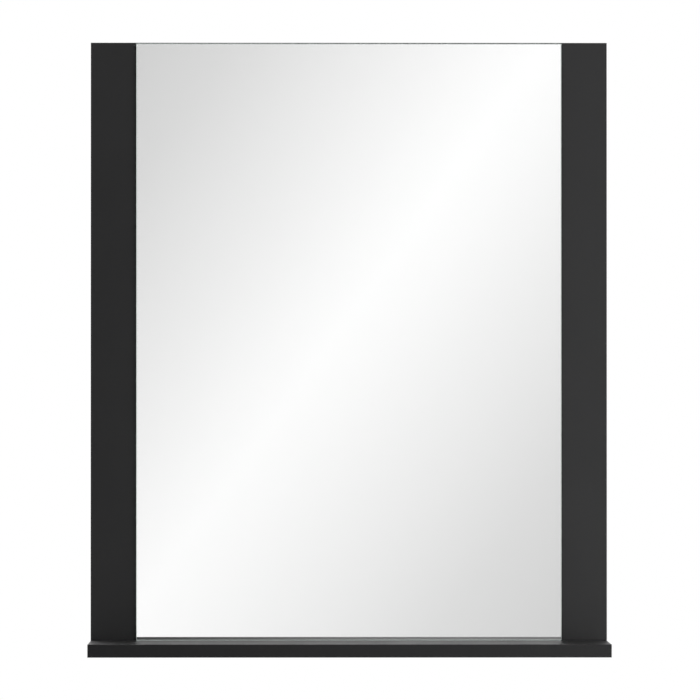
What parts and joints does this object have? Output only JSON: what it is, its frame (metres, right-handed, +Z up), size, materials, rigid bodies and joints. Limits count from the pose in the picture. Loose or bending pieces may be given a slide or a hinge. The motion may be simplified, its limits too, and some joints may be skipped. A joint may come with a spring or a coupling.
{
  "type": "wall mirror with shelf",
  "caption": "Upright rectangular wall mirror on a black board that shows as a bare strip at each side, with a full-width black shelf along the bottom.",
  "frame": {"origin": "on the wall plane, midway between the entry holes of the two keyhole plates", "axes": "+X to the viewer's right, +Y into the wall, +Z up"},
  "size_m": [0.6, 0.12, 0.71],
  "materials": {
    "black_melamine": "matt black melamine on chipboard",
    "black_edging": "matt black plastic edging",
    "clear_glass": "clear float glass with ground edges",
    "silvering": "silver on the glass, grey paint behind",
    "foam_tape": "white foam mounting tape",
    "zinc_plated_steel": "bright zinc plating",
    "die_cast_zinc": "dull cast zinc",
    "beech": "plain beech",
    "pad_rubber": "soft grey"
  },
  "bodies": {
    "mirror_body": {"back_panel": "black_melamine", "panel_edging_left": "black_edging", "panel_edging_right": "black_edging", "panel_edging_top": "black_edging", "shelf_board": "black_melamine", "shelf_edging_front": "black_edging", "shelf_edging_left": "black_edging", "shelf_edging_right": "black_edging", "mirror_glass": "clear_glass", "mirror_silvering": "silvering", "mirror_tape_strips": "foam_tape", "hanger_plate_left": "zinc_plated_steel", "hanger_plate_right": "zinc_plated_steel", "hanger_screws": "zinc_plated_steel", "cam_bolt_left": "zinc_plated_steel", "cam_bolt_right": "zinc_plated_steel", "shelf_dowels": "beech", "wall_pad_left": "pad_rubber", "wall_pad_right": "pad_rubber"},
    "left_cam": {"cam_left": "die_cast_zinc"},
    "right_cam": {"cam_right": "die_cast_zinc"}
  },
  "joints": [
    {"name": "cam_left_turn", "type": "hinge", "parent": "mirror_body", "child": "left_cam", "pos_m": [-0.2, -0.0095, -0.611], "axis": [0, 1, 0], "range_deg": [0, 150]},
    {"name": "cam_right_turn", "type": "hinge", "parent": "mirror_body", "child": "right_cam", "pos_m": [0.2, -0.0095, -0.611], "axis": [0, 1, 0], "range_deg": [0, 150]}
  ]
}
